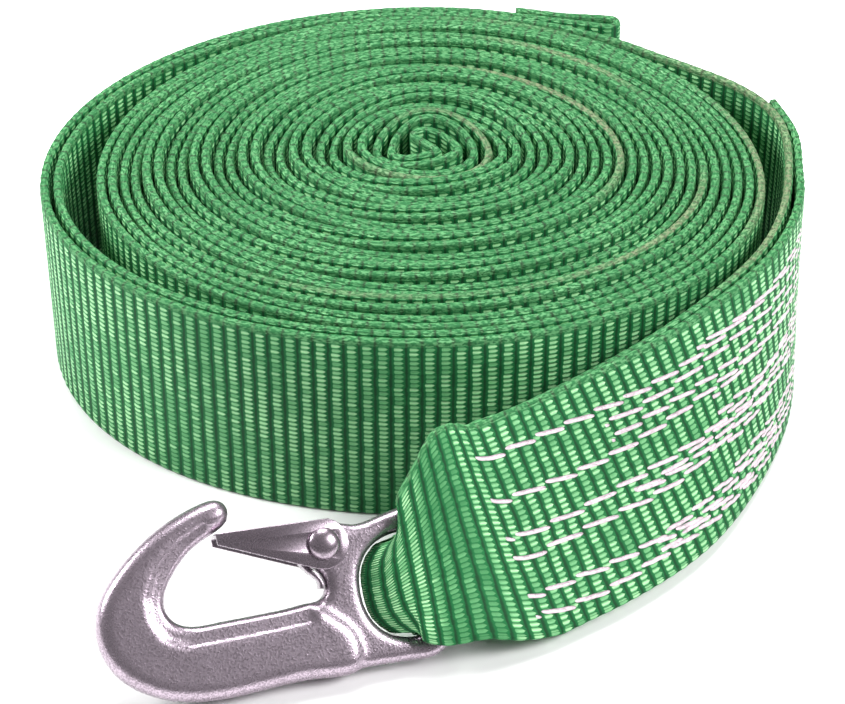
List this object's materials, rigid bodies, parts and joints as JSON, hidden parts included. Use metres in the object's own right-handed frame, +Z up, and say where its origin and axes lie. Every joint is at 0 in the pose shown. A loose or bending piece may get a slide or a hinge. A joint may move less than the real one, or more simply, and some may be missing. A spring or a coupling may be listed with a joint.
{
  "type": "winch strap",
  "caption": "Green 50 mm winch strap wound double into a coil on its edge, with a forged snap hook in the sewn loop at one end.",
  "frame": {"origin": "middle of the whole part's footprint, on the floor", "axes": "+Z up along the webbing's width, +Y from the hook's side to the far side of the coil, the hook points to -X"},
  "size_m": [0.1886, 0.2198, 0.061],
  "materials": {
    "green_webbing": "woven polyester, ribbed",
    "plated_steel": "zinc plated forging, slightly rough",
    "latch_steel": "zinc plated sheet"
  },
  "bodies": {
    "strap": {"webbing": "green_webbing"},
    "hook": {"hook_body": "plated_steel", "rivet": "latch_steel", "latch_spring": "latch_steel"},
    "latch": {"latch": "latch_steel"}
  },
  "joints": [
    {"name": "hook_swing", "type": "hinge", "parent": "strap", "child": "hook", "pos_m": [0.0005, -0.08124, 0.01425], "axis": [-0.1956, 0.6399, 0.7431], "range_deg": [-8, 4]},
    {"name": "latch_swing", "type": "hinge", "parent": "hook", "child": "latch", "pos_m": [-0.0226, -0.07991, 0.02317], "axis": [0.2173, -0.7107, 0.6691], "range_deg": [0, 38], "stiffness_Nm_per_rad": 0.02, "springref_deg": -34.38}
  ]
}
